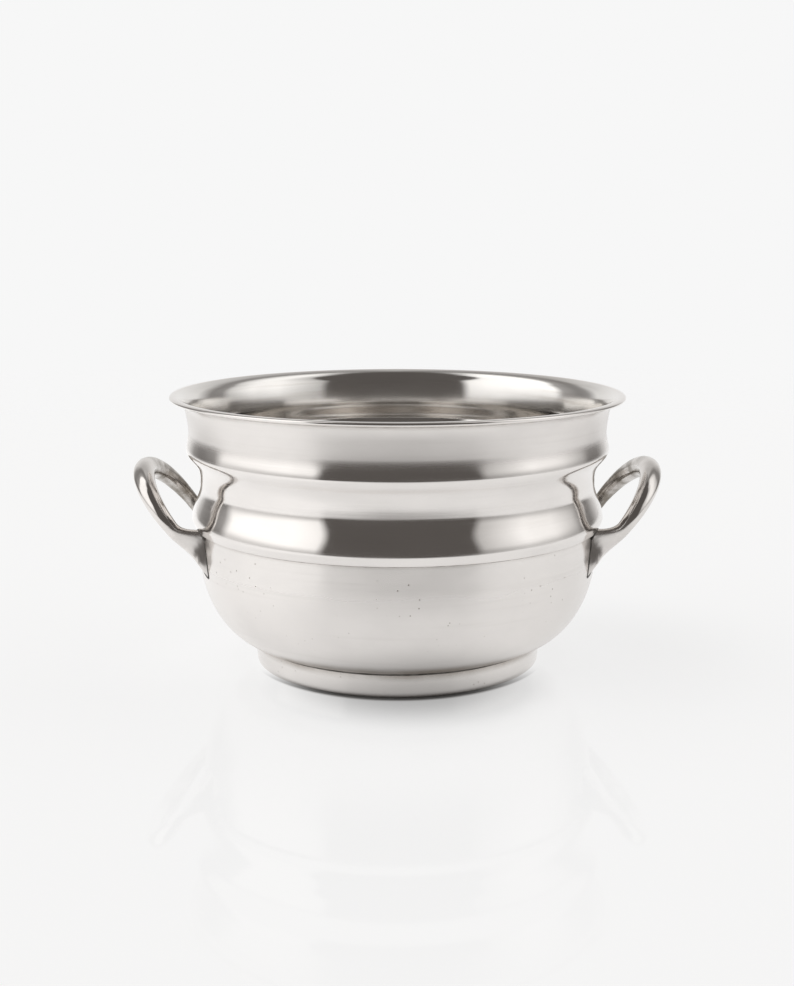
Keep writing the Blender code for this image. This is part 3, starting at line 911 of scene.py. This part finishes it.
def studio_floor():
    """Glossy white table top, lit from below, with painted shadows at the foot and painted extra light on
    the lamp's side, that fades into the backdrop and ends in front of the cup.
    """
    material, graph = new_graph("table_white")
    place = graph.node("ShaderNodeSeparateXYZ", {0: graph.node("ShaderNodeTexCoord").outputs["Object"]})
    x, y, _ = place.outputs

    def distance(centre):
        """Distance of a place on the table from a centre."""
        aside = graph.math("SUBTRACT", x, centre[0])
        ahead = graph.math("SUBTRACT", y, centre[1])
        squares = [graph.math("MULTIPLY", run, run) for run in (aside, ahead)]
        return graph.math("SQRT", graph.math("ADD", *squares))

    away = distance((0.0, 0.0))
    kept = graph.step(away, *FLOOR_FADE, 1.0, 0.0)
    kept = graph.math("MULTIPLY", kept, graph.step(y, *FLOOR_FRONT))
    # Painted shadows in the glow: a dark ring round the foot, a soft shade in front and a faint one to the
    # right
    under = graph.step(distance(CONTACT_CENTRE), *CONTACT_SHADOW)
    under = graph.math("MAXIMUM", under, graph.step(y, *CONTACT_FRONT))
    front = graph.step(distance(FRONT_SHADE_CENTRE), *FRONT_SHADE, 1.0 - FRONT_SHADE_DEPTH, 1.0)
    side = graph.step(distance(SIDE_SHADE_CENTRE), *SIDE_SHADE, 1.0 - SIDE_SHADE_DEPTH, 1.0)
    shade = graph.math("MULTIPLY", front, side)
    glow = graph.math("MULTIPLY", graph.math("MULTIPLY", under, FLOOR_GLOW), shade)
    mirrored = graph.math("SUBTRACT", 1.0, graph.node("ShaderNodeLightPath").outputs["Is Camera Ray"])
    # Painted extra light on the lamp's side, for every ray but the camera's
    nearer = graph.step(x, *LAMP_SIDE, LAMP_SIDE_GAIN - 1.0, 0.0)
    gain = graph.math("ADD", graph.math("MULTIPLY", nearer, mirrored), 1.0)
    glow = graph.math("MULTIPLY", glow, gain)
    gloss = graph.step(y, *FLOOR_GLOSS, FLOOR_COAT, 0.0)
    top = graph.node("ShaderNodeBsdfPrincipled", {
        "Base Color": FLOOR_COLOUR, "Roughness": 1.0, "Specular IOR Level": 0.0,
        "Coat Weight": gloss, "Coat IOR": FLOOR_COAT_INDEX, "Coat Roughness": FLOOR_COAT_ROUGHNESS,
        "Emission Color": (1.0, 1.0, 1.0, 1.0), "Emission Strength": glow,
    })
    clear = graph.node("ShaderNodeBsdfTransparent")
    surface = graph.node("ShaderNodeMixShader", {0: kept, 1: clear.outputs[0], 2: top.outputs[0]})
    graph.node("ShaderNodeOutputMaterial", {"Surface": surface.outputs[0]})
    mesh = bpy.data.meshes.new("table")
    corners = [(-1, -1), (1, -1), (1, 1), (-1, 1)]
    mesh.from_pydata([(FLOOR_HALF * a, FLOOR_HALF * b, 0.0) for a, b in corners], [], [(0, 1, 2, 3)])
    mesh.materials.append(material)
    table = bpy.data.objects.new("table", mesh)
    bpy.context.scene.collection.objects.link(table)


def photo_camera():
    """Camera with the photograph's point of view and lens."""
    lens = bpy.data.cameras.new("photo_camera")
    lens.sensor_width = SENSOR_MM
    lens.lens = FOCAL_PX * SENSOR_MM / IMAGE_HEIGHT_PX
    lens.clip_start = CAMERA_NEAR
    camera = bpy.data.objects.new("photo_camera", lens)
    bpy.context.scene.collection.objects.link(camera)
    turn = Matrix.Rotation(-CAMERA_TURN, 4, "Z")
    place = Matrix.Translation((CAMERA_SIDE, -CAMERA_DISTANCE, CAMERA_HEIGHT))
    camera.matrix_world = turn @ place @ Matrix.Rotation(math.pi / 2 - CAMERA_PITCH, 4, "X")
    bpy.context.scene.camera = camera


def build():
    """Every piece with its finish, then the studio and the camera."""
    plate = plate_material(
        "plate", SILVER, TARNISH_AND_SHADE, streaks=0.06, pitting=1.0, roughness=0.20, zones=BODY_ZONES
    )
    # Inside, the strong streaks in the tarnish colour are painted reflections
    inside = plate_material(
        "plate_inside", INSIDE_SILVER, INSIDE_TARNISH_AND_REFLECTION, streaks=0.30, pitting=0.0, roughness=0.13
    )
    rim = plate_material("plate_rim", SILVER, TARNISH_AND_SHADE, streaks=0.06, pitting=0.0, roughness=0.10)
    cast = cast_material("plate_cast", CAST_SILVER, CAST_TARNISH, roughness=0.08)
    solder = solder_material("solder_grey", *SOLDER_GREY)
    # The foot's solder is darkened also as painted shade in the crease between the bowl and the foot
    dull = solder_material("solder_dull_and_shade", *SOLDER_DULL_AND_SHADE)
    # The solder round the handles' roots is nearly black also as painted shade in the crevices there
    oxide_and_shade = solder_material("solder_dark_and_shade", *SOLDER_DARK_AND_SHADE)
    bowl_shell([plate, inside])
    collar_shell([plate, inside])
    rim_bead([rim])
    foot_band([plate])
    seam_run([solder])
    foot_run([dull])
    rim_run([solder])
    for label, side in (("left", -1.0), ("right", 1.0)):
        loop_handle(label, side, [cast])
        for end_label, end in (("front", -1.0), ("rear", 1.0)):
            root_bead(label, side, end_label, end, [oxide_and_shade])
    studio_world()
    studio_floor()
    photo_camera()
    bpy.context.scene.view_settings.view_transform = "Standard"


build()
bpy.context.view_layer.update()
